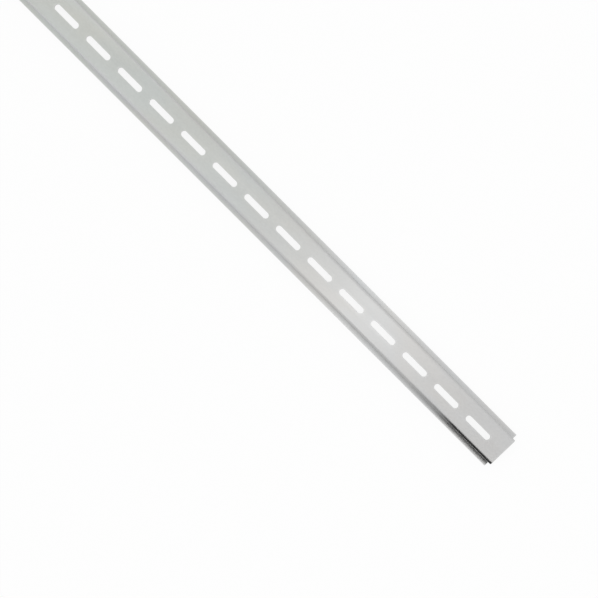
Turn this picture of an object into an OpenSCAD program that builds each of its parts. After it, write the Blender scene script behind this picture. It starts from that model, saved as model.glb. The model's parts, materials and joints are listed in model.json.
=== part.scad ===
// Slotted top-hat mounting rail, 35 mm wide, in one length of stock.
// It lies on its two flanges with the channel downwards, so the back of the
// web, the face that goes against a panel, is on top.
// X runs along the rail, Y across it and Z up. The origin is in the middle of
// the surface that the flanges lie on.

/* [Stock] */
// Length of the rail
rail_length = 1000; // [200:5:2000]

/* [Section] */
// Overall width across the two flanges
flange_span = 35; // [31:0.5:45]
// Width of the channel over the outside of its walls
channel_width = 27; // [20:0.5:31]
// Height from the flange faces to the back of the web
rail_height = 7.5; // [5:0.1:16]
// Thickness of the metal, the same all round the section
metal = 1; // [0.8:0.1:1.5]
// Inside radius of the four bends
bend_radius = 0.8; // [0.2:0.1:1]
// Rounding of the corners along the outer edges of the flanges
edge_radius = 0.25; // [0.1:0.05:0.35]

/* [Slots] */
// Length of a slot from end to end
slot_length = 25; // [8:0.5:30]
// Width of a slot
slot_width = 5; // [4:0.1:8]
// Web left between two neighbouring slots
slot_bridge = 10; // [5:0.5:20]
// Web left between an end of the rail and its first slot
end_margin = 15; // [5:0.5:30]

/* [Hidden] */

// Facets drawn on a full circle
$fn = 64;
// How far a cut runs past the faces that it goes through
cut_past = 1;

// Radius round the outside of a bend
bend_outside = bend_radius + metal;
// Flat metal between the bends
web_flat = channel_width - 2 * bend_outside;
wall_flat = rail_height - 2 * bend_outside;
flange_flat = (flange_span - channel_width) / 2 - bend_radius - edge_radius;

// Slots are punched from the -X end, as many as leave the end margin at +X
slot_pitch = slot_length + slot_bridge;
slot_count = floor((rail_length - 2 * end_margin + slot_bridge) / slot_pitch);
first_slot_x = -rail_length / 2 + end_margin + slot_length / 2;

// A quarter of a ring of the metal, round the origin, in the first quadrant
module bend() {
    intersection() {
        difference() {
            circle(r = bend_outside);
            circle(r = bend_radius);
        }
        square(bend_outside);
    }
}

// The flat of a flange with the rounded edge at its far end, from the origin
module flange() {
    square([flange_flat, metal]);
    translate([flange_flat, edge_radius])
        square([edge_radius, metal - 2 * edge_radius]);
    for (corner = [edge_radius, metal - edge_radius])
        translate([flange_flat, corner])
            circle(r = edge_radius);
}

// One wall of the channel with its two bends and its flange, on the +Y side
module side_of_section() {
    translate([channel_width / 2 - bend_outside, rail_height - bend_outside])
        bend();
    translate([channel_width / 2 - metal, bend_outside])
        square([metal, wall_flat]);
    translate([channel_width / 2 + bend_radius, bend_outside])
        rotate(180)
            bend();
    translate([channel_width / 2 + bend_radius, 0])
        flange();
}

// The top-hat section, drawn with the rail's Y and Z as its own X and Y
module section() {
    translate([-web_flat / 2, rail_height - metal])
        square([web_flat, metal]);
    side_of_section();
    mirror([1, 0])
        side_of_section();
}

// A slot with round ends, centred on the origin and lying along X
module slot_outline() {
    straight = slot_length - slot_width;
    square([straight, slot_width], center = true);
    for (end = [-1, 1])
        translate([end * straight / 2, 0])
            circle(d = slot_width);
}

// Every slot as one solid that runs through the web
module slot_row() {
    for (i = [0 : slot_count - 1])
        translate([first_slot_x + i * slot_pitch, 0, rail_height - metal - cut_past])
            linear_extrude(metal + 2 * cut_past)
                slot_outline();
}

module rail() {
    color("silver")
        difference() {
            rotate([90, 0, 90])
                linear_extrude(rail_length, center = true)
                    section();
            slot_row();
        }
}

rail();
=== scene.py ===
"""Dresses one slotted top-hat mounting rail that lies on its flanges, back upwards, on a pale floor.

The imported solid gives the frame: its box gives the overall sizes and its mounts give the slots. A finer
closed mesh stands for the solid, with rolled slot rims, torn slot walls and broken edges at the sawn
ends. All lengths are in metres, X runs along the rail, Y across it and Z up.
"""

from __future__ import annotations

import json
import logging
import math
from dataclasses import dataclass, field
from enum import Enum

import bpy
import numpy as np
from mathutils import Matrix, Vector


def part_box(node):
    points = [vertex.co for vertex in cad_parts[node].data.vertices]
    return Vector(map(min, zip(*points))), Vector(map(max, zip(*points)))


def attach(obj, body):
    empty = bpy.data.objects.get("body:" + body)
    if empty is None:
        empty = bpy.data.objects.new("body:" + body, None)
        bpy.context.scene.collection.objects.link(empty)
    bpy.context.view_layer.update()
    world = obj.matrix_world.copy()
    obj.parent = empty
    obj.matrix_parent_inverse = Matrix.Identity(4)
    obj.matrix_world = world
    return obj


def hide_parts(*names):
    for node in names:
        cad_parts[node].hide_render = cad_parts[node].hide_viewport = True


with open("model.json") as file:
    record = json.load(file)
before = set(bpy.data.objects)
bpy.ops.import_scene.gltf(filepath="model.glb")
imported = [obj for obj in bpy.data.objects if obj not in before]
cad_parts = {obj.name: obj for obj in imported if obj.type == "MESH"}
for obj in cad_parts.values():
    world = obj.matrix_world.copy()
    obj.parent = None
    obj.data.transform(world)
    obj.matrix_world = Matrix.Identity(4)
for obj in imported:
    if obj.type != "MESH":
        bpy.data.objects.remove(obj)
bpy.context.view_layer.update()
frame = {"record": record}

MM = 0.001
BODY = "root"
NODE = "rail"
WELD_GRAIN = 1e-8  # points that round to the same grain, in metres, are one point
TINY = 1e-9  # keeps a division by a part of a ray away from zero
DECIMALS = 12  # kept where equal places are sought
EDGE_WEAR = "edge_wear"
TORN = "torn"
# the point attribute that carries painted shade in the hollow bends
PAINTED_SHADE = "painted_shade"
TONE = "tone"
BAKE_LAYER = "OFBake"
NOISE_MIDDLE = 0.5
MIX_SHARE, MIX_FIRST, MIX_SECOND, MIX_RESULT = 0, 6, 7, 2  # a mix node's sockets for colours
MIRROR_Y = np.array([-1.0, 1.0])  # turns points in Y and Z over to the other side

log = logging.getLogger("rail")

Colour = tuple[float, float, float]
Triple = tuple[float, float, float]
Pair = tuple[float, float]
Path = tuple[np.ndarray, np.ndarray]


class Zone(Enum):
    """The finishes on the rail's faces; each value is the finish's place in the piece's material list."""

    SKIN = 0
    PUNCHED = 1
    SAWN = 2


class End(Enum):
    """The two ends of the rail, as the sign of their place along X."""

    MINUS = -1
    PLUS = 1


@dataclass(frozen=True)
class Patch:
    """A piece of surface before it is joined to its neighbours.

    points are n by 3 places, flat are the same n points laid out on the plane of the bake's map, and
    quads are m by 4 indices into both, counter-clockwise seen from outside.
    """

    points: np.ndarray
    flat: np.ndarray
    quads: np.ndarray
    zone: Zone = Zone.SKIN

    def turned(self) -> Patch:
        """The same surface with its faces turned round."""
        return Patch(self.points, self.flat, self.quads[:, ::-1], self.zone)


def grid_quads(rows: int, columns: int, cyclic: bool = False) -> np.ndarray:
    """The quads of a grid of points that is stored row by row.

    A quad goes along its row and then to the next row, so its normal is the direction of growing
    columns crossed with the direction of growing rows.

    Args:
        rows: Number of rows of points.
        columns: Number of points in a row.
        cyclic: Whether the last point of a row joins its first.

    Returns:
        Point indices, one row of four for each quad.
    """
    row = np.arange(rows - 1)[:, None] * columns
    here = np.arange(columns if cyclic else columns - 1)[None, :]
    there = (here + 1) % columns
    corners = (row + here, row + there, row + columns + there, row + columns + here)
    return np.stack(corners, axis=-1).reshape(-1, 4)


def grid_patch(points: np.ndarray, flat: np.ndarray, zone: Zone = Zone.SKIN, cyclic: bool = False) -> Patch:
    """A patch from a rows by columns grid.

    Args:
        points: Places, rows by columns by 3.
        flat: The same grid on the bake's map, rows by columns by 2.
        zone: Finish of its faces.
        cyclic: Whether the last column joins the first.

    Returns:
        The patch, facing the columns' direction crossed with the rows' direction.
    """
    rows, columns = points.shape[:2]
    quads = grid_quads(rows, columns, cyclic)
    return Patch(points.reshape(-1, 3), flat.reshape(-1, 2), quads, zone)


def arc(centre: Pair, radius: float, start: float, stop: float, steps: int, hollow: bool) -> Path:
    """Points on an arc, centre + radius * (cos a, sin a), with the normals that point out of the metal.

    Args:
        centre: Middle of the arc in the plane of the section.
        radius: Its radius.
        start: First angle a in degrees.
        stop: Last angle a in degrees.
        steps: Number of chords.
        hollow: Whether the metal lies outside the arc, so that the normals point at its centre.

    Returns:
        Points and unit normals, each steps + 1 by 2.
    """
    angle = np.radians(np.linspace(start, stop, steps + 1))
    ray = np.stack([np.cos(angle), np.sin(angle)], axis=1)
    return np.array(centre) + radius * ray, -ray if hollow else ray


def join_arcs(arcs: list[Path], steps: int) -> Path:
    """One path through several arcs, with straight flats between them that keep the arcs' normals.

    Args:
        arcs: The arcs in order; each ends in the direction that the next begins in.
        steps: Number of pieces that each flat is cut into.

    Returns:
        Points and unit normals of the whole path.
    """
    share = np.linspace(0.0, 1.0, steps + 1)[1:-1, None]
    points, normals = [arcs[0][0]], [arcs[0][1]]
    for (past, past_normals), (ahead, ahead_normals) in zip(arcs, arcs[1:]):
        flat = past[-1] + share * (ahead[0] - past[-1])
        points += [flat, ahead]
        normals += [np.repeat(past_normals[-1:], len(flat), axis=0), ahead_normals]
    return np.concatenate(points), np.concatenate(normals)


def round_off(radius: float, steps: int) -> tuple[np.ndarray, np.ndarray]:
    """Insets of a rounded edge: radius * (1 - sin t) and radius * (1 - cos t), for a quarter turn of t."""
    turn = np.linspace(0.0, math.pi / 2, steps + 1)
    return radius * (1 - np.sin(turn)), radius * (1 - np.cos(turn))


def run_length(points: np.ndarray) -> np.ndarray:
    """The distance along a path of points, from 0 at its first point."""
    steps = np.linalg.norm(np.diff(points, axis=0), axis=1)
    return np.concatenate([[0.0], np.cumsum(steps)])


def weld(points: np.ndarray, quads: np.ndarray) -> tuple[np.ndarray, np.ndarray]:
    """Joins the points of neighbouring patches that lie in the same place.

    Args:
        points: All places, n by 3.
        quads: Faces as indices into points.

    Returns:
        The places left and the faces as indices into them.
    """
    grains = np.round(points / WELD_GRAIN).astype(np.int64)
    _, first, place = np.unique(grains, axis=0, return_index=True, return_inverse=True)
    return points[first], place.reshape(-1)[quads]


def vertex_normals(points: np.ndarray, quads: np.ndarray) -> np.ndarray:
    """Normals at the points: the sum of the normals of the faces round a point, each times its area.

    The cross product of a quad's diagonals is its normal times twice its area, so wide flats keep their
    own direction and the narrow faces of a rounded edge turn between them.

    Args:
        points: Places, n by 3.
        quads: Faces as indices into points.

    Returns:
        Unit normals, n by 3.
    """
    corner = points[quads]
    cross = np.cross(corner[:, 2] - corner[:, 0], corner[:, 3] - corner[:, 1])
    total = np.zeros_like(points)
    np.add.at(total, quads.reshape(-1), np.repeat(cross, 4, axis=0))
    return total / np.linalg.norm(total, axis=1, keepdims=True)


@dataclass(frozen=True)
class Section:
    """The top-hat section, in the plane of Y and Z, with its sizes."""

    flange_span: float
    height: float
    channel_width: float = 27 * MM
    metal: float = 1 * MM
    bend_radius: float = 0.8 * MM
    edge_radius: float = 0.25 * MM
    bend_steps: int = 10
    edge_steps: int = 5
    flat_steps: int = 3

    @property
    def bend_outside(self) -> float:
        """Radius round the outside of a bend."""
        return self.bend_radius + self.metal

    @property
    def web_half(self) -> float:
        """Half the width of the flat web between its two bends."""
        return self.channel_width / 2 - self.bend_outside

    @property
    def bend_centres(self) -> tuple[Pair, Pair]:
        """The centres of the web's bend and the flange's bend on the +Y side."""
        web_bend = (self.web_half, self.height - self.bend_outside)
        return web_bend, (self.channel_width / 2 + self.bend_radius, self.bend_outside)

    def way(self, over: bool) -> Path:
        """The path on the +Y side from the web to the flange's edge, over the metal or under it.

        It goes round the web's bend, down the wall, round the flange's bend and along the flange to its
        rounded edge. The two ways lie one thickness of the metal apart, point facing point.

        Args:
            over: Whether it lies over the metal.

        Returns:
            Points and unit normals.
        """
        web_bend, flange_bend = self.bend_centres
        radii = (self.bend_outside, self.bend_radius) if over else (self.bend_radius, self.bend_outside)
        edge_height = self.metal - self.edge_radius if over else self.edge_radius
        edge = (self.flange_span / 2 - self.edge_radius, edge_height)
        arcs = [
            arc(web_bend, radii[0], 90, 0, self.bend_steps, hollow=not over),
            arc(flange_bend, radii[1], 180, 270, self.bend_steps, hollow=over),
            arc(edge, self.edge_radius, 90 if over else -90, 0, self.edge_steps, hollow=False),
        ]
        return join_arcs(arcs, self.flat_steps)

    def side(self) -> Path:
        """The path round the whole +Y side: out over the metal and back under it."""
        (over, over_normals), (under, under_normals) = self.way(over=True), self.way(over=False)
        return np.concatenate([over, under[::-1]]), np.concatenate([over_normals, under_normals[::-1]])


@dataclass(frozen=True)
class SlotRow:
    """The row of round-ended slots along the middle of the web."""

    count: int
    pitch: float
    length: float
    width: float
    corner_steps: int = 4
    bridge_steps: int = 12
    straight_steps: int = 4

    @staticmethod
    def from_mounts(mounts: list[dict]) -> SlotRow:
        """Reads the row off the part's slotted bolt patterns, pairs of slots about the rail's middle.

        Args:
            mounts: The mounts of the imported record.

        Returns:
            The row: the widest pair holds its two end slots and the closest pair gives its pitch.
        """
        pairs = [m["dims"] for m in mounts if m["kind"] == "bolt_pattern"]
        apart = [pair["spacing_x_mm"] * MM for pair in pairs]
        count = round(max(apart) / min(apart)) + 1
        width = 2 * pairs[0]["hole_r_mm"] * MM
        return SlotRow(count, min(apart), pairs[0]["slot_length_mm"] * MM, width)

    @property
    def half_straight(self) -> float:
        """Half the length of a slot's straight sides."""
        return (self.length - self.width) / 2

    @property
    def centres(self) -> np.ndarray:
        """The places of the slots' middles along X."""
        return (np.arange(self.count) - (self.count - 1) / 2) * self.pitch

    @property
    def reach(self) -> float:
        """Half the length of the cells, one pitch long each, that the row is made of."""
        return self.count * self.pitch / 2

    def rings(self, web_half: float) -> tuple[np.ndarray, np.ndarray, np.ndarray]:
        """Two rings of points round a cell of the web, one on its slot and one on its border.

        A point on a round end lies at the angle a about the end's centre, and its partner lies where the
        ray at that angle meets the cell's border. The corner of the cell has a ray of its own. A point on
        a straight side has its partner straight across. The second half of a ring is the first half
        turned through half a turn.

        Args:
            web_half: Half the width of the cell.

        Returns:
            The slot's ring, its outward normals and the border's ring, counter-clockwise.
        """
        half_bridge = self.pitch / 2 - self.half_straight
        corner = math.atan2(web_half, half_bridge)
        bridge = np.linspace(-corner, corner, self.bridge_steps + 1)
        shoulder = np.linspace(corner, math.pi / 2, self.corner_steps + 1)[1:]
        angle = np.concatenate([-shoulder[::-1], bridge, shoulder])
        ray = np.stack([np.cos(angle), np.sin(angle)], axis=1)
        across = half_bridge / np.maximum(ray[:, 0], TINY)
        along = web_half / np.maximum(np.abs(ray[:, 1]), TINY)
        end = np.array([self.half_straight, 0.0])
        x = np.linspace(self.half_straight, -self.half_straight, self.straight_steps + 1)[1:-1]
        up = np.tile([0.0, 1.0], (len(x), 1))
        base = np.stack([x, np.zeros_like(x)], axis=1)
        slot = np.concatenate([end + ray * self.width / 2, base + up * self.width / 2])
        normals = np.concatenate([ray, up])
        border = np.concatenate([end + ray * np.minimum(across, along)[:, None], base + up * web_half])
        return tuple(np.concatenate([half, -half]) for half in (slot, normals, border))


@dataclass(frozen=True)
class BakeMap:
    """The layout of the bake's map: tiles for lengths of the rail's skin, and one tile for the rest.

    A length is some cells long, and its tile holds the whole way round the section. The last tile holds
    the slots' walls, one below the other, and the two end faces.
    """

    tile_length: float
    tile_height: float
    lengths: int
    columns: int = 5
    gap: float = 1 * MM

    @property
    def rows(self) -> int:
        """Number of rows of tiles, with one tile to spare for what isn't skin."""
        return math.ceil((self.lengths + 1) / self.columns)

    def place(self, tile: np.ndarray, along: np.ndarray, around: np.ndarray) -> np.ndarray:
        """Turns a place in a tile into one on the map, where the whole sheet of tiles fills the unit square.

        Args:
            tile: Number of the tile.
            along: Distance from the tile's left edge.
            around: Distance from the tile's lower edge.

        Returns:
            Map coordinates, with a last axis of 2.
        """
        pitch_u, pitch_v = self.tile_length + self.gap, self.tile_height + self.gap
        u = ((tile % self.columns) * pitch_u + self.gap / 2 + along) / (self.columns * pitch_u)
        v = ((tile // self.columns) * pitch_v + self.gap / 2 + around) / (self.rows * pitch_v)
        return np.stack(np.broadcast_arrays(u, v), axis=-1)


@dataclass(frozen=True)
class Grain:
    """Smooth noise: its bumps in a metre along X, Y and Z, and the number and strength of its layers."""

    scale: Triple = (1.0, 1.0, 1.0)
    detail: float = 2.0
    roughness: float = 0.5


class NodeSheet:
    """Short ways to add nodes to a material or a world and to join them."""

    def __init__(self, owner: bpy.types.Material | bpy.types.World) -> None:
        """Empties the owner's node tree and gives it an output node."""
        self.owner = owner
        owner.use_nodes = True
        self.tree = owner.node_tree
        self.tree.nodes.clear()
        kind = "World" if isinstance(owner, bpy.types.World) else "Material"
        self.output = self.add(f"ShaderNodeOutput{kind}")

    def add(self, kind: str, feeds: dict | None = None, **settings: object) -> bpy.types.Node:
        """Adds a node.

        Args:
            kind: Blender's name for its type.
            feeds: What goes into its sockets, by their names or numbers.
            settings: Its properties.

        Returns:
            The node.
        """
        node = self.tree.nodes.new(kind)
        for name, value in settings.items():
            setattr(node, name, value)
        for socket, value in (feeds or {}).items():
            self.feed(node.inputs[socket], value)
        return node

    def feed(self, socket: bpy.types.NodeSocket, value: object) -> None:
        """Joins another node's output to a socket, or sets the socket's own value."""
        if isinstance(value, bpy.types.NodeSocket):
            self.tree.links.new(value, socket)
        elif socket.type == "RGBA":
            socket.default_value = (*value, 1.0)
        else:
            socket.default_value = value

    def finish(self, surface: bpy.types.NodeSocket) -> bpy.types.Material | bpy.types.World:
        """Ends the sheet in a surface, and gives back what owns the sheet."""
        self.feed(self.output.inputs["Surface"], surface)
        return self.owner

    def places(self, scale: Triple = (1.0, 1.0, 1.0)) -> bpy.types.NodeSocket:
        """The object's own coordinates, in metres, times a scale for each axis."""
        own = self.add("ShaderNodeTexCoord").outputs["Object"]
        return self.add("ShaderNodeMapping", {"Vector": own, "Scale": scale}).outputs["Vector"]

    def noise(self, grain: Grain, where: bpy.types.NodeSocket | None = None) -> bpy.types.NodeSocket:
        """Smooth noise from 0 to 1, about one bump for each unit of the coordinates.

        Args:
            grain: Its scale and its finer layers.
            where: Coordinates to use in place of the object's own times the scale.

        Returns:
            The noise.
        """
        vector = self.places(grain.scale) if where is None else where
        feeds = {"Vector": vector, "Scale": 1.0, "Detail": grain.detail, "Roughness": grain.roughness}
        return self.add("ShaderNodeTexNoise", feeds).outputs["Fac"]

    def math(self, operation: str, first: object, second: object = 0.0) -> bpy.types.NodeSocket:
        """One step of arithmetic on sockets or numbers."""
        return self.add("ShaderNodeMath", {0: first, 1: second}, operation=operation).outputs["Value"]

    def spread(self, value: bpy.types.NodeSocket, old: Pair, new: Pair = (0.0, 1.0)) -> bpy.types.NodeSocket:
        """Carries one range of a number to another, held at both ends."""
        feeds = {"Value": value, "From Min": old[0], "From Max": old[1], "To Min": new[0], "To Max": new[1]}
        return self.add("ShaderNodeMapRange", feeds, clamp=True).outputs["Result"]

    def blend(self, share: object, first: object, second: object, kind: str = "MIX") -> bpy.types.NodeSocket:
        """Mixes two colours, from all of the first at a share of 0 to all of the second at 1."""
        feeds = {MIX_SHARE: share, MIX_FIRST: first, MIX_SECOND: second}
        return self.add("ShaderNodeMix", feeds, data_type="RGBA", blend_type=kind).outputs[MIX_RESULT]

    def attribute(self, name: str) -> bpy.types.NodeSocket:
        """A number that the mesh carries at each point."""
        return self.add("ShaderNodeAttribute", attribute_name=name).outputs["Fac"]

    def weigh(self, *shares: tuple[bpy.types.NodeSocket, float]) -> bpy.types.NodeSocket:
        """The sum of several numbers, each times its weight."""
        parts = [self.math("MULTIPLY", value, weight) for value, weight in shares]
        total = parts[0]
        for part in parts[1:]:
            total = self.math("ADD", total, part)
        return total

    def bump(
        self, height: bpy.types.NodeSocket, depth: float, under: bpy.types.NodeSocket | None = None
    ) -> bpy.types.NodeSocket:
        """A normal bent by a height.

        Args:
            height: Height from 0 to 1.
            depth: What a height of 1 measures; below 0, the height goes into the surface.
            under: Normal that is already bent, if there is one.

        Returns:
            The bent normal.
        """
        feeds = {"Height": height, "Distance": abs(depth)}
        if under is not None:
            feeds["Normal"] = under
        return self.add("ShaderNodeBump", feeds, invert=depth < 0).outputs["Normal"]

    def metal(self, colour: object, roughness: object, normal: bpy.types.NodeSocket) -> bpy.types.Material:
        """Ends the sheet in a bare metal surface, and gives back the finished material."""
        feeds = {"Metallic": 1.0, "Base Color": colour, "Roughness": roughness, "Normal": normal}
        return self.finish(self.add("ShaderNodeBsdfPrincipled", feeds).outputs["BSDF"])


@dataclass(frozen=True)
class SatinSkin:
    """Mill finish of the rail's skin.

    Soft grey clouds with a faint warm or cool tint lie under fine lines along the length. Small mottling
    and sparse scratches break it up, painted shade darkens the hollow bends and rubbed edges are brighter.
    """

    name: str = "satin_aluminium"
    pale: Colour = (0.6, 0.6, 0.6)
    dull: Colour = (0.519, 0.519, 0.52)
    warm: Colour = (1.012, 1.0, 0.985)
    cool: Colour = (0.988, 1.0, 1.012)
    rubbed: Colour = (0.69, 0.695, 0.69)
    # grey of the painted shade in the hollow bends
    corner: Colour = (0.36, 0.37, 0.355)
    roughness: Pair = (0.31, 0.45)
    clouds: Grain = Grain((9.0, 60.0, 60.0), detail=3.0)
    tints: Grain = Grain((16.0, 35.0, 35.0))
    mottle: Grain = Grain((450.0, 700.0, 700.0), detail=3.0, roughness=0.6)
    lines: Grain = Grain((2.0, 1400.0, 1400.0), detail=3.0, roughness=0.6)
    hairs: Grain = Grain((14.0, 6500.0, 6500.0))
    streak_weights: Pair = (0.7, 0.3)
    shade_weights: Triple = (0.4, 0.38, 0.22)
    shade_range: Pair = (0.34, 0.66)
    tint_range: Pair = (0.35, 0.65)
    rough_weights: Pair = (0.55, 0.45)
    rough_range: Pair = (0.3, 0.7)
    painted_shade_share: float = 0.16
    rubbed_share: float = 0.6
    rubbed_polish: float = 0.08
    scratch_shine: float = 0.35
    scratch_spacing: float = 9 * MM
    scratch_reach: float = 3.5 * MM
    scratch_width: float = 0.05 * MM
    scratch_slant: float = 0.9
    scratched_share: float = 0.3
    line_depth: float = 0.006 * MM
    scratch_depth: float = 0.004 * MM

    def scratches(self, sheet: NodeSheet) -> bpy.types.NodeSocket:
        """Straight scratches: some cells of a random scatter hold one, through the cell's point.

        Each has its own slant. A scratch is as strong as 1 - (distance from its line) / width, and fades out
        over its reach.

        Args:
            sheet: The material's sheet.

        Returns:
            1 on a scratch and 0 beside it.
        """
        where = sheet.places()
        spacing = {"Vector": where, "Scale": 1 / self.scratch_spacing}
        scatter = sheet.add("ShaderNodeTexVoronoi", spacing).outputs
        offset = sheet.add("ShaderNodeVectorMath", {0: where, 1: scatter["Position"]}, operation="SUBTRACT")
        chance = sheet.add("ShaderNodeSeparateColor", {"Color": scatter["Color"]}).outputs
        slant = sheet.spread(chance["Red"], (0.0, 1.0), (-self.scratch_slant, self.scratch_slant))
        feeds = {"Vector": offset.outputs["Vector"], "Angle": slant}
        turned = sheet.add("ShaderNodeVectorRotate", feeds, rotation_type="Z_AXIS")
        parts = sheet.add("ShaderNodeSeparateXYZ", {"Vector": turned.outputs["Vector"]}).outputs
        across, ahead = (sheet.math("ABSOLUTE", parts[axis]) for axis in "YX")
        beside = sheet.spread(across, (0.0, self.scratch_width), (1.0, 0.0))
        along = sheet.spread(ahead, (0.0, self.scratch_reach), (1.0, 0.0))
        here = sheet.math("LESS_THAN", chance["Green"], self.scratched_share)
        return sheet.math("MULTIPLY", here, sheet.math("MULTIPLY", beside, along))

    def make(self) -> bpy.types.Material:
        """The material: clouds and lines shade it, lines and mottling roughen it, painted shade darkens the
        hollow bends, and worn edges shine.

        Returns:
            The material.
        """
        sheet = NodeSheet(bpy.data.materials.new(self.name))
        grains = (self.clouds, self.tints, self.mottle, self.lines, self.hairs)
        clouds, tints, mottle, lines, hairs = (sheet.noise(grain) for grain in grains)
        scratches = self.scratches(sheet)
        wear, painted_shade = sheet.attribute(EDGE_WEAR), sheet.attribute(PAINTED_SHADE)
        streaks = sheet.weigh(*zip((lines, hairs), self.streak_weights))
        shade = sheet.weigh(*zip((clouds, mottle, streaks), self.shade_weights))
        tone = sheet.blend(sheet.spread(shade, self.shade_range), self.dull, self.pale)
        tint = sheet.blend(sheet.spread(tints, self.tint_range), self.warm, self.cool)
        tinted = sheet.blend(1.0, tone, tint, "MULTIPLY")
        # painted shade: the tone is blended towards the corner grey near the hollow bends
        painted_shade_tone = sheet.blend(sheet.math("MULTIPLY", painted_shade, self.painted_shade_share), tinted, self.corner)
        rubbing = sheet.math("MULTIPLY", wear, self.rubbed_share)
        bright = sheet.math("MAXIMUM", rubbing, sheet.math("MULTIPLY", scratches, self.scratch_shine))
        colour = sheet.blend(bright, painted_shade_tone, self.rubbed)
        grain = sheet.weigh(*zip((streaks, mottle), self.rough_weights))
        rough = sheet.spread(grain, self.rough_range, self.roughness)
        worn = sheet.math("SUBTRACT", rough, sheet.math("MULTIPLY", wear, self.rubbed_polish))
        lined = sheet.bump(streaks, self.line_depth)
        return sheet.metal(colour, worn, sheet.bump(scratches, -self.scratch_depth, under=lined))


@dataclass(frozen=True)
class PunchedWall:
    """The wall that a punch leaves in a slot: a smooth upper land and a torn, dull lower part."""

    name: str = "punched_wall"
    smooth: Colour = (0.66, 0.665, 0.655)
    torn: Colour = (0.47, 0.475, 0.465)
    roughness: Pair = (0.26, 0.58)
    drag: Grain = Grain((2600.0, 2600.0, 160.0), detail=3.0, roughness=0.65)
    drag_shade: float = 0.25
    raggedness: float = 0.5
    torn_range: Pair = (0.35, 0.65)
    tear_depth: float = 0.03 * MM

    def make(self) -> bpy.types.Material:
        """The material: drag marks run down the wall, and the torn share of it is duller and rougher.

        Returns:
            The material.
        """
        sheet = NodeSheet(bpy.data.materials.new(self.name))
        drag = sheet.noise(self.drag)
        torn = sheet.attribute(TORN)
        about_none = sheet.math("SUBTRACT", drag, NOISE_MIDDLE)
        ragged = sheet.math("ADD", torn, sheet.math("MULTIPLY", about_none, self.raggedness))
        share = sheet.spread(ragged, self.torn_range)
        tone = sheet.blend(share, self.smooth, self.torn)
        colour = sheet.blend(sheet.math("MULTIPLY", drag, self.drag_shade), tone, self.torn)
        rough = sheet.spread(share, (0.0, 1.0), self.roughness)
        return sheet.metal(colour, rough, sheet.bump(sheet.math("MULTIPLY", drag, share), self.tear_depth))


@dataclass(frozen=True)
class SawnEnd:
    """The face that a round saw blade leaves: fine arcs across bright metal."""

    name: str = "sawn_end"
    bright: Colour = (0.7, 0.7, 0.69)
    grey: Colour = (0.52, 0.525, 0.52)
    roughness: Pair = (0.3, 0.5)
    shade_range: Pair = (0.35, 0.65)
    rough_range: Pair = (0.3, 0.7)
    blade_radius: float = 150 * MM
    arc_pitch: float = 0.22 * MM
    arcs: Grain = Grain(roughness=0.6)
    mark_depth: float = 0.012 * MM

    def make(self) -> bpy.types.Material:
        """The material: rings about a centre far below the end face cross it as shallow arcs.

        Returns:
            The material.
        """
        sheet = NodeSheet(bpy.data.materials.new(self.name))
        where = sheet.add("ShaderNodeSeparateXYZ", {"Vector": sheet.places()}).outputs
        drop = sheet.math("ADD", where["Z"], self.blade_radius)
        squares = [sheet.math("POWER", part, 2.0) for part in (where["Y"], drop)]
        reach = sheet.math("SQRT", sheet.math("ADD", *squares))
        ring = sheet.add("ShaderNodeCombineXYZ", {"X": sheet.math("DIVIDE", reach, self.arc_pitch)})
        arcs = sheet.noise(self.arcs, ring.outputs["Vector"])
        colour = sheet.blend(sheet.spread(arcs, self.shade_range), self.grey, self.bright)
        rough = sheet.spread(arcs, self.rough_range, self.roughness)
        return sheet.metal(colour, rough, sheet.bump(arcs, self.mark_depth))


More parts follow.
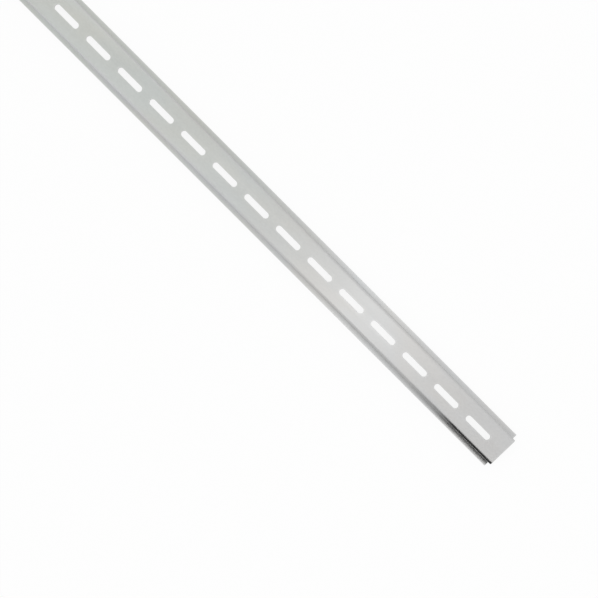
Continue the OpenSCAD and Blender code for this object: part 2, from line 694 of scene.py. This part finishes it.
@dataclass
class Rail:
    """One length of slotted rail, with the fine shape of its slots and ends."""

    length: float
    section: Section
    slots: SlotRow
    rim_radius: float = 0.2 * MM
    land_share: float = 0.45
    tear_width: float = 0.05 * MM
    burr_radius: float = 0.05 * MM
    end_radius: float = 0.12 * MM
    rim_steps: int = 5
    end_steps: int = 4
    wear_width: float = 0.35 * MM
    # how far the painted shade reaches from a hollow bend
    painted_shade_width: float = 2.2 * MM
    web_shares: tuple[float, ...] = (0.0, 0.4, 0.72, 0.9, 1.0)
    strip_shares: tuple[float, ...] = (0.0, 0.45, 0.8, 0.95, 1.0)
    cells_in_tile: int = 2
    spare_rows: int = 4
    skin: SatinSkin = field(default_factory=SatinSkin)
    wall: PunchedWall = field(default_factory=PunchedWall)
    sawn: SawnEnd = field(default_factory=SawnEnd)

    @property
    def top(self) -> float:
        """Height of the back of the web."""
        return self.section.height

    @property
    def under(self) -> float:
        """Height of the underside of the web."""
        return self.section.height - self.section.metal

    @property
    def strip(self) -> np.ndarray:
        """Places along X of the plain web between the last cell and the broken edge of the +X end."""
        stop = self.length / 2 - self.end_radius
        return self.slots.reach + np.array(self.strip_shares) * (stop - self.slots.reach)

    @property
    def bake_map(self) -> BakeMap:
        """The layout of the bake's map for this rail."""
        lengths = math.ceil(self.slots.count / self.cells_in_tile)
        tile_length = self.cells_in_tile * self.slots.pitch + self.length / 2 - self.slots.reach
        return BakeMap(tile_length, self.way_round[-1], lengths)

    @property
    def way_round(self) -> np.ndarray:
        """Distances round the section to the ends of the web's top, +Y side, web's underside and -Y side."""
        web = 2 * self.section.web_half
        side = run_length(self.section.side()[0])[-1]
        return np.cumsum([web, side, web, side])

    def tile_of(self, x: np.ndarray) -> tuple[np.ndarray, np.ndarray]:
        """The tile that a place along the rail falls in, and the place of the tile's left edge along X.

        The plain strips at the rail's ends belong to the tiles next to them.

        Args:
            x: Places along X, which may be the middles of faces.

        Returns:
            Tile numbers and left edges.
        """
        step = self.cells_in_tile * self.slots.pitch
        tile = np.clip(np.floor((x + self.slots.reach) / step), 0, self.bake_map.lengths - 1)
        left = np.where(tile == 0, -self.length / 2, tile * step - self.slots.reach)
        return tile, left

    def map_row(self, rank: float) -> float:
        """Height of a row in the map's last tile, which has one for each slot's wall and some to spare."""
        return rank * self.way_round[-1] / (self.slots.count + self.spare_rows)

    def slot_path(self) -> tuple[np.ndarray, np.ndarray, np.ndarray, int, int]:
        """The way from a cell's border over the rim, down a slot's wall and back under to the border.

        Below the rounded rim the land goes straight down. The torn part leans outwards by the tear's width,
        and a small round turns it to the underside.

        Returns:
            The share of the border at each row, the offset from the slot's outline, the height, and the
            first and last row of the wall.
        """
        rim_offset, rim_drop = round_off(self.rim_radius, self.rim_steps)
        burr_rise, burr_lean = round_off(self.burr_radius, self.rim_steps)
        burr_offset = self.tear_width + burr_lean
        land = self.top - self.land_share * self.section.metal
        web = 1 - np.array(self.web_shares)[:-1]
        flat = np.zeros_like(web)
        share = np.concatenate([web, np.zeros(2 * self.rim_steps + 3), web[::-1]])
        foot = flat + burr_offset[-1]
        offset = np.concatenate([flat + self.rim_radius, rim_offset, [0.0], burr_offset, foot])
        wall = [self.top - rim_drop, [land], self.under + burr_rise]
        height = np.concatenate([flat + self.top, *wall, flat + self.under])
        first = len(web) + self.rim_steps
        return share, offset, height, first, first + 2 + self.rim_steps

    def cells(self) -> list[Patch]:
        """The slotted web: each cell is a ring of points carried along the slot's path.

        A point of a row is share * border + (1 - share) * (slot outline + offset * normal), at the row's
        height.

        Returns:
            Patches for the top, the slot's wall and the underside of every cell.
        """
        share, offset, height, first, last = self.slot_path()
        slot, normals, border = self.slots.rings(self.section.web_half)
        inner = slot[None] + offset[:, None, None] * normals[None]
        plan = share[:, None, None] * border[None] + (1 - share)[:, None, None] * inner
        level = np.broadcast_to(height[:, None, None], (*plan.shape[:2], 1))
        cell = np.concatenate([plan, level], axis=2)
        numbers = range(self.slots.count)
        return [patch for number in numbers for patch in self.cell(cell, number, first, last)]

    def cell(self, shape: np.ndarray, number: int, first: int, last: int) -> list[Patch]:
        """One cell of the slotted web.

        Args:
            shape: The cell's grid of points about its own middle, rows by ring points by 3.
            number: Its place in the row, from 0 at -X.
            first: First row of the slot's wall.
            last: Last row of the slot's wall.

        Returns:
            Patches for its top, its slot's wall and its underside.
        """
        centre = self.slots.centres[number]
        points = shape + np.array([centre, 0.0, 0.0])
        tile, left = self.tile_of(np.array(centre))
        under_end = self.way_round[2]
        along, across = points[..., 0] - left, points[..., 1] + self.section.web_half
        over = self.bake_map.place(tile, along, across)
        below = self.bake_map.place(tile, along, under_end - across)
        ring = np.append(np.arange(shape.shape[1]), 0)
        around = run_length(shape[first, ring, :2])
        down = self.top - shape[first : last + 1, :1, 2]
        row_middle = self.map_row(number + 0.5)
        wall = self.bake_map.place(self.bake_map.lengths, around[None, :], row_middle + down)
        return [
            grid_patch(points[: first + 1], over[: first + 1], cyclic=True),
            grid_patch(points[first : last + 1, ring], wall, Zone.PUNCHED),
            grid_patch(points[last:], below[last:], cyclic=True),
        ]

    def border_places(self, axis: int, limit: float) -> np.ndarray:
        """Places of the points on one edge of a cell's border, in order.

        Args:
            axis: Axis along which the places are wanted, 0 for X and 1 for Y.
            limit: Place of the edge along the other axis.

        Returns:
            Places along the axis, from the cell's middle.
        """
        _, _, border = self.slots.rings(self.section.web_half)
        on_edge = np.isclose(border[:, 1 - axis], limit)
        return np.unique(np.round(border[on_edge, axis], DECIMALS))

    def stations(self) -> np.ndarray:
        """Places along X of every point on the web's long edges, which the sides share."""
        cell = self.border_places(0, self.section.web_half)[:-1]
        cells = (self.slots.centres[:, None] + cell[None, :]).reshape(-1)
        return np.concatenate([-self.strip[::-1][:-1], cells, self.strip])

    def web_rows(self) -> tuple[np.ndarray, np.ndarray]:
        """The points across the web between two cells, in Y and Z.

        Returns:
            The row out over its top to +Y, and the row back under it.
        """
        y = self.border_places(1, self.slots.pitch / 2)
        over = np.stack([y, np.full_like(y, self.top)], axis=1)
        return over, np.stack([y[::-1], np.full_like(y, self.under)], axis=1)

    def sweep(self, path: np.ndarray, around: np.ndarray, x: np.ndarray) -> list[Patch]:
        """Carries a path in the plane of the section along X, cut where the bake's tiles end.

        Args:
            path: Points in Y and Z.
            around: Their distance round the section on the bake's map.
            x: Places along X.

        Returns:
            A patch for each tile, facing X crossed with the path's direction.
        """
        tile, left = self.tile_of((x[:-1] + x[1:]) / 2)
        patches = []
        for number in np.unique(tile):
            inside = np.flatnonzero(tile == number)
            cut = x[inside[0] : inside[-1] + 2]
            shape = (len(path), len(cut))
            place = [np.broadcast_to(cut, shape), *(np.broadcast_to(p[:, None], shape) for p in path.T)]
            flat = self.bake_map.place(number, cut[None, :] - left[inside[0]], around[:, None])
            patches.append(grid_patch(np.stack(place, axis=-1), flat))
        return patches

    def sides(self) -> list[Patch]:
        """The two walls with their bends and flanges, swept along the whole rail.

        Returns:
            Patches for the +Y side and, mirrored and turned round, for the -Y side.
        """
        path, _ = self.section.side()
        web_end, _, under_end, _ = self.way_round
        there = self.sweep(path, web_end + run_length(path), self.stations())
        back = path[::-1] * MIRROR_Y
        here = self.sweep(back, under_end + run_length(back), self.stations())
        return there + here

    def strips(self) -> list[Patch]:
        """The plain web at both ends, between the last cells and the broken edges.

        Returns:
            Patches for the top and the underside at each end.
        """
        over, below = self.web_rows()
        side_end = self.way_round[1]
        patches = []
        for x in (-self.strip[::-1], self.strip):
            patches += self.sweep(over, over[:, 0] + self.section.web_half, x)
            patches += self.sweep(below, side_end + self.section.web_half - below[:, 0], x)
        return patches

    def loop(self) -> Path:
        """The closed way round the section, from the web's -Y edge over the top and back underneath.

        Returns:
            Points and unit normals out of the metal.
        """
        over, below = (row[1:-1] for row in self.web_rows())
        path, normals = self.section.side()
        up = np.tile([0.0, 1.0], (len(over), 1))
        points = np.concatenate([over, path, below, path[::-1] * MIRROR_Y])
        return points, np.concatenate([up, normals, -up, normals[::-1] * MIRROR_Y])

    def end(self, which: End) -> list[Patch]:
        """The broken edge and the sawn face at one end.

        The edge's rows are the closed way round the section, rounded off towards the end. Counted from the
        -Y edge, the first half of that way is the upper one and the second half the lower one, and the face
        joins each point of the upper half to the point below it.

        Args:
            which: The end.

        Returns:
            Patches for the edge and the face.
        """
        section, normals = self.loop()
        short, deep = round_off(self.end_radius, self.end_steps)
        inset = section[None] - deep[:, None, None] * normals[None]
        along = self.length / 2 - short
        x = np.broadcast_to(which.value * along[:, None, None], (*inset.shape[:2], 1))
        ring = np.append(-1, np.arange(len(section)))
        edge_points = np.concatenate([x, inset], axis=2)[:, ring]
        stop = which.value * self.length / 2
        tile, left = self.tile_of(np.array(stop))
        edge_flat = self.bake_map.place(tile, edge_points[..., 0] - left, run_length(section[ring])[None, :])
        edge = grid_patch(edge_points, edge_flat)
        upper, lower = np.split(np.roll(inset[-1], len(self.section.way(over=True)[0]), axis=0), 2)
        lower = lower[::-1]
        face_plan = np.stack([lower, upper])
        face_points = np.concatenate([np.full((*face_plan.shape[:2], 1), stop), face_plan], axis=2)
        row = self.map_row(self.slots.count + 1 + (which.value + 1) // 2)
        spread = np.stack([np.zeros(len(upper)), np.linalg.norm(upper - lower, axis=1)])
        face_flat = self.bake_map.place(self.bake_map.lengths, run_length(upper)[None, :], row + spread)
        face = grid_patch(face_points, face_flat, Zone.SAWN)
        return [edge.turned(), face] if which is End.PLUS else [edge, face.turned()]

    def wear(self, points: np.ndarray) -> np.ndarray:
        """How much handling has rubbed the surface: exp(-distance / width) from the nearest edge.

        The edges are the rail's ends, the flanges' long edges and the rims of the slots.

        Args:
            points: Places, n by 3.

        Returns:
            Wear from 0 to 1.
        """
        x, y, z = points.T
        along = (x - self.slots.centres[0] + self.slots.pitch / 2) % self.slots.pitch - self.slots.pitch / 2
        past_straight = np.maximum(np.abs(along) - self.slots.half_straight, 0)
        from_slot = np.hypot(past_straight, y) - self.slots.width / 2
        in_row = (np.abs(x) < self.slots.reach) & (z > self.under - self.burr_radius)
        from_rim = np.where(in_row, np.maximum(from_slot, 0), self.length)
        from_end = self.length / 2 - np.abs(x)
        from_edge = self.section.flange_span / 2 - np.abs(y)
        nearest = np.minimum(np.minimum(from_rim, from_end), from_edge)
        return np.exp(-nearest / self.wear_width)

    def painted_shade(self, points: np.ndarray, normals: np.ndarray) -> np.ndarray:
        """How much painted shade a hollow bend puts on the surface: exp(-distance / width) from the bend's
        arc.

        It counts only on the side of the metal that faces the bend's centre, and the distance to an arc is
        the distance to its centre less its radius.

        Args:
            points: Places, n by 3.
            normals: Unit normals there, n by 3.

        Returns:
            Painted shade from 0 to 1, from the closer of the two hollow bends on the point's side.
        """
        section = self.section
        here = np.column_stack([np.abs(points[:, 1]), points[:, 2]])
        way = np.column_stack([normals[:, 1] * np.sign(points[:, 1]), normals[:, 2]])
        total = np.zeros(len(points))
        for centre in section.bend_centres:
            to_centre = np.array(centre) - here
            away = np.maximum(np.linalg.norm(to_centre, axis=1) - section.bend_radius, 0.0)
            faces = np.einsum("ij,ij->i", to_centre, way) > 0.0
            total = np.maximum(total, faces * np.exp(-away / self.painted_shade_width))
        return total

    def torn(self, points: np.ndarray) -> np.ndarray:
        """How torn a slot's wall is: 0 at its top and 1 at its foot, in step with the height."""
        return np.clip((self.top - points[:, 2]) / self.section.metal, 0.0, 1.0)

    def build(self) -> bpy.types.Object:
        """Joins all patches into one closed mesh.

        Returns:
            The rail's object, at the origin, with its place in its mesh.
        """
        patches = self.cells() + self.strips() + self.sides() + self.end(End.MINUS) + self.end(End.PLUS)
        starts = np.cumsum([0] + [len(p.points) for p in patches[:-1]])
        loose = np.concatenate([p.points for p in patches])
        loose_quads = np.concatenate([p.quads + start for p, start in zip(patches, starts)])
        flat = np.concatenate([p.flat[p.quads].reshape(-1, 2) for p in patches])
        zones = np.concatenate([np.full(len(p.quads), p.zone.value) for p in patches])
        points, quads = weld(loose, loose_quads)
        mesh = bpy.data.meshes.new("slotted_rail")
        mesh.from_pydata(points.tolist(), [], quads.tolist())
        mesh.polygons.foreach_set("material_index", zones.astype(np.int32))
        mesh.polygons.foreach_set("use_smooth", np.ones(len(quads), dtype=bool))
        layer = mesh.uv_layers.new(name=BAKE_LAYER)
        layer.uv.foreach_set("vector", flat.astype(np.float32).reshape(-1))
        normals = vertex_normals(points, quads)
        numbers = {
            EDGE_WEAR: self.wear(points),
            # painted shade in the hollow bends
            PAINTED_SHADE: self.painted_shade(points, normals),
            TORN: self.torn(points),
        }
        for name, values in numbers.items():
            attribute = mesh.attributes.new(name, "FLOAT", "POINT")
            attribute.data.foreach_set("value", values.astype(np.float32))
        mesh.normals_split_custom_set_from_vertices(normals.tolist())
        mesh.update()
        rail = bpy.data.objects.new("slotted_rail", mesh)
        bpy.context.scene.collection.objects.link(rail)
        return rail

    def dress(self, rail: bpy.types.Object) -> None:
        """Gives the rail its finishes, in the order of the zones."""
        for finish in (self.skin, self.wall, self.sawn):
            rail.data.materials.append(finish.make())


@dataclass(frozen=True)
class Lamp:
    """A soft rectangular lamp."""

    name: str
    place: Triple
    aim: Triple
    size: Pair
    power: float

    def build(self) -> None:
        """Hangs the lamp in its place and turns it to its aim."""
        light = bpy.data.lights.new(self.name, "AREA")
        light.shape = "RECTANGLE"
        light.size, light.size_y = self.size
        light.energy = self.power
        lamp = bpy.data.objects.new(self.name, light)
        lamp.location = self.place
        lamp.rotation_euler = (Vector(self.aim) - Vector(self.place)).to_track_quat("-Z", "Y").to_euler()
        bpy.context.scene.collection.objects.link(lamp)


@dataclass(frozen=True)
class Card:
    """A card that shows only as a reflection in metal.

    Its profile is a list of places in Y and Z, which is carried along X. Each of its stops is a place along
    X with the strength of the card's glow there.
    """

    name: str
    profile: tuple[Pair, ...]
    stops: tuple[Pair, ...]
    tint: Colour = (1.0, 1.0, 1.0)

    def build(self) -> bpy.types.Object:
        """Carries the profile along X, with the tone as a number at each point.

        Returns:
            The card's object, hidden from the camera, from diffuse light and from shadows, so that metal
            still shows it.
        """
        rows, columns = len(self.stops), len(self.profile)
        x, tones = np.repeat(np.array(self.stops), columns, axis=0).T
        points = np.column_stack([x, np.tile(self.profile, (rows, 1))])
        mesh = bpy.data.meshes.new(self.name)
        mesh.from_pydata(points.tolist(), [], grid_quads(rows, columns).tolist())
        tone = mesh.attributes.new(TONE, "FLOAT", "POINT")
        tone.data.foreach_set("value", tones.astype(np.float32))
        sheet = NodeSheet(bpy.data.materials.new(self.name))
        glow = sheet.add("ShaderNodeEmission", {"Color": self.tint, "Strength": sheet.attribute(TONE)})
        mesh.materials.append(sheet.finish(glow.outputs["Emission"]))
        card = bpy.data.objects.new(self.name, mesh)
        card.visible_camera = False
        card.visible_diffuse = False
        card.visible_shadow = False
        bpy.context.scene.collection.objects.link(card)
        return card


BEND_TONES: tuple[Pair, ...] = (
    (0.05, 0.9), (0.25, 0.85), (0.41, 0.68), (0.443, 0.4), (0.458, 0.0), (0.51, 0.0),
)
OVER_BEND: tuple[Pair, ...] = (
    (-11.6 * MM, 8.9 * MM),
    (-13.4 * MM, 8.5 * MM),
    (-15.2 * MM, 7.8 * MM),
    (-15.0 * MM, 6.5 * MM),
    (-14.6 * MM, 4.9 * MM),
)


@dataclass
class Studio:
    """A pale floor and surround, two soft lamps overhead and cards, three of them close to the -Y bends."""

    floor_size: float = 80.0
    floor_colour: Colour = (0.9, 0.9, 0.9)
    floor_glow: float = 0.88
    surround: float = 0.985
    cards: tuple[Card, ...] = (
        Card("edge_card", OVER_BEND, BEND_TONES),
        Card("shelf_card", ((-14.7 * MM, 4.9 * MM), (-15.9 * MM, 5.1 * MM)), BEND_TONES),
        Card("hollow_card", ((-14.6 * MM, 1.35 * MM), (-14.6 * MM, 1.95 * MM)), BEND_TONES),
        Card("far_card", ((-1.5, 0.0), (-1.5, 1.3)), ((-0.7, 0.92), (1.3, 0.5))),
        Card("sky_card", ((-2.5, 2.5), (2.5, 2.5)), ((-4.0, 1.03), (-0.1, 1.0)), tint=(0.968, 1.0, 0.948)),
    )
    lamps: tuple[Lamp, ...] = (
        Lamp("overhead_lamp", place=(0.425, 0.0, 0.9), aim=(0.35, 0.0, 0.0), size=(0.12, 0.12), power=0.145),
        Lamp("end_lamp", place=(0.75, 0.157, 0.72), aim=(0.49, 0.0, 0.0), size=(0.12, 0.12), power=0.03),
    )

    def world(self) -> None:
        """Lights everything evenly from all round."""
        sheet = NodeSheet(bpy.data.worlds.new("surround"))
        feeds = {"Color": (1.0, 1.0, 1.0), "Strength": self.surround}
        bpy.context.scene.world = sheet.finish(sheet.add("ShaderNodeBackground", feeds).outputs["Background"])

    def floor(self) -> bpy.types.Object:
        """A wide floor that looks white to the eye and in the metal, and still takes the rail's shadow.

        Returns:
            The floor's object.
        """
        half = self.floor_size / 2
        mesh = bpy.data.meshes.new("floor")
        corners = [(-half, -half, 0), (half, -half, 0), (half, half, 0), (-half, half, 0)]
        mesh.from_pydata(corners, [], [(0, 1, 2, 3)])
        floor = bpy.data.objects.new("floor", mesh)
        bpy.context.scene.collection.objects.link(floor)
        sheet = NodeSheet(bpy.data.materials.new("pale_floor"))
        rays = sheet.add("ShaderNodeLightPath").outputs
        seen = sheet.math("MAXIMUM", rays["Is Camera Ray"], rays["Is Glossy Ray"])
        seen = sheet.math("MAXIMUM", seen, rays["Is Transmission Ray"])
        matt = sheet.add("ShaderNodeBsdfDiffuse", {"Color": self.floor_colour}).outputs["BSDF"]
        glow = sheet.add("ShaderNodeEmission").outputs["Emission"]
        share = sheet.math("MULTIPLY", seen, self.floor_glow)
        mix = sheet.add("ShaderNodeMixShader", {0: share, 1: matt, 2: glow})
        mesh.materials.append(sheet.finish(mix.outputs["Shader"]))
        return floor

    def build(self) -> None:
        """Sets up the surround, the floor, the cards and the lamps."""
        self.world()
        self.floor()
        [card.build() for card in self.cards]
        for lamp in self.lamps:
            lamp.build()


@dataclass(frozen=True)
class Viewpoint:
    """The camera above the rail, placed from what the image shows.

    The image is square. The middle of the rail's near end and the slots' pitch have known places and
    sizes in it, in pixels, and the rail runs down to the right at its turn.
    """

    image_size: float = 598.0
    end_pixel: Pair = (503.0, 452.8)
    pitch_pixels: float = 44.78
    rail_turn: float = math.radians(45.0)
    above_web: float = 461 * MM
    sensor: float = 36.0

    def build(self, rail: Rail) -> None:
        """Makes the scene's camera.

        The image's middle lies a number of pixels from the near end, so many metres along the rail and
        across it. The camera stands over the rail's middle line and leans across it by
        asin(distance across / height), and its lens makes one slot pitch as long as it is in the image.

        Args:
            rail: The rail that it looks at.
        """
        pixel = rail.slots.pitch / self.pitch_pixels
        turn = Matrix.Rotation(self.rail_turn, 3, "Z")
        right, down = (self.image_size / 2 - place for place in self.end_pixel)
        along, across, _ = turn @ Vector((right, -down, 0.0)) * pixel
        lean = math.asin(across / self.above_web)
        data = bpy.data.cameras.new("camera")
        data.sensor_width = self.sensor
        data.lens = self.sensor * self.above_web * math.cos(lean) / (pixel * self.image_size)
        camera = bpy.data.objects.new("camera", data)
        place = Matrix.Translation((rail.length / 2 + along, 0.0, rail.top + self.above_web))
        camera.matrix_world = place @ Matrix.Rotation(lean, 4, "X") @ turn.to_4x4()
        bpy.context.scene.collection.objects.link(camera)
        bpy.context.scene.camera = camera


def main() -> None:
    """Builds the rail, the studio and the camera, and reports each piece."""
    logging.basicConfig(level=logging.INFO, format="%(name)s: %(message)s")
    low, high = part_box(NODE)
    section = Section(flange_span=high[1] - low[1], height=high[2] - low[2])
    slots = SlotRow.from_mounts(frame["record"]["mounts"])
    rail = Rail(high[0] - low[0], section, slots)
    piece = rail.build()
    rail.dress(piece)
    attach(piece, BODY)
    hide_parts(NODE)
    log.info("%s: %d slots, %d faces", piece.name, slots.count, len(piece.data.polygons))
    Studio().build()
    Viewpoint().build(rail)
    bpy.context.scene.view_settings.view_transform = "Standard"


if __name__ == "__main__":
    main()
